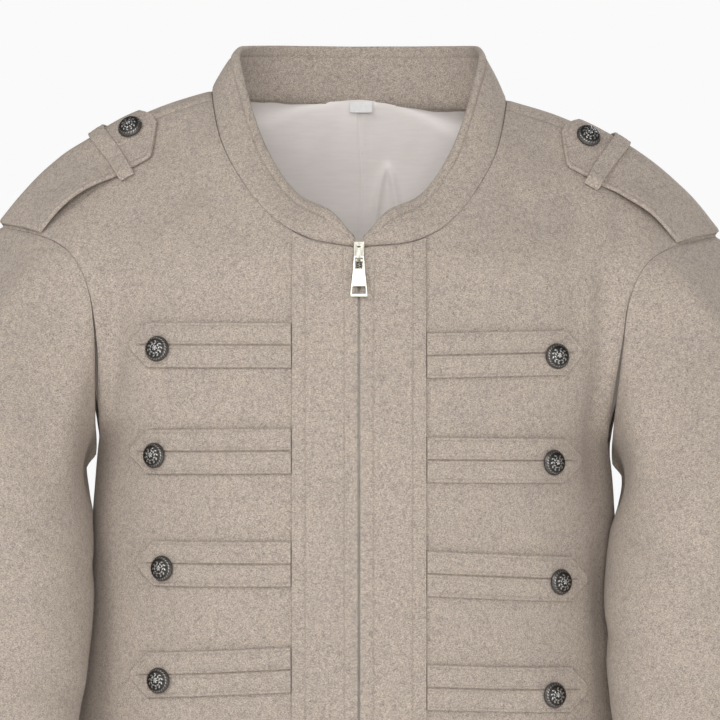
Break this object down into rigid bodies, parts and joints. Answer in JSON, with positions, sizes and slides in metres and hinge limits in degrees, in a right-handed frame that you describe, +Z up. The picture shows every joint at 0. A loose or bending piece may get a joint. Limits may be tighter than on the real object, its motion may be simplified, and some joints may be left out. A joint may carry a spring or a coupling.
{
  "type": "napoleon jacket",
  "caption": "Cropped wool jacket, filled out as if worn, with a stand collar, a front zip, rows of pointed tabs with domed metal buttons, and shoulder epaulets in carrier loops.",
  "frame": {"origin": "centre of the neck, level with the points where the shoulder seams meet the neck seam", "axes": "+X to the viewer's right as seen from the front, +Y from the front of the jacket to its back, +Z up"},
  "size_m": [0.6264, 0.2648, 0.6872],
  "materials": {
    "wool": "matt melange wool",
    "satin": "soft satin lining",
    "label": "woven tape",
    "silver": "antique silver, dark in the hollows",
    "zip_tape": "woven tape",
    "zip_metal": "satin metal"
  },
  "bodies": {
    "jacket": {"front_left": "wool", "front_right": "wool", "back": "wool", "sleeve_left": "wool", "sleeve_right": "wool", "collar": "wool", "placket_left": "wool", "placket_right": "wool", "tab_left_1": "wool", "tab_left_2": "wool", "tab_left_3": "wool", "tab_left_4": "wool", "tab_right_1": "wool", "tab_right_2": "wool", "tab_right_3": "wool", "tab_right_4": "wool", "epaulet_left": "wool", "epaulet_right": "wool", "loop_left": "wool", "loop_right": "wool", "lining_back": "satin", "size_label": "label", "button_left_1": "silver", "button_left_2": "silver", "button_left_3": "silver", "button_left_4": "silver", "button_right_1": "silver", "button_right_2": "silver", "button_right_3": "silver", "button_right_4": "silver", "epaulet_button_left": "silver", "epaulet_button_right": "silver", "zip_left": "zip_tape", "zip_right": "zip_tape", "zip_box": "zip_metal", "zip_slider": "zip_metal"},
    "pull_tab": {"zip_pull": "zip_metal"}
  },
  "joints": [
    {"name": "zip_pull_swing", "type": "hinge", "parent": "jacket", "child": "pull_tab", "pos_m": [0, -0.10877, -0.12442], "axis": [-1, 0, 0], "range_deg": [0, 165]}
  ]
}
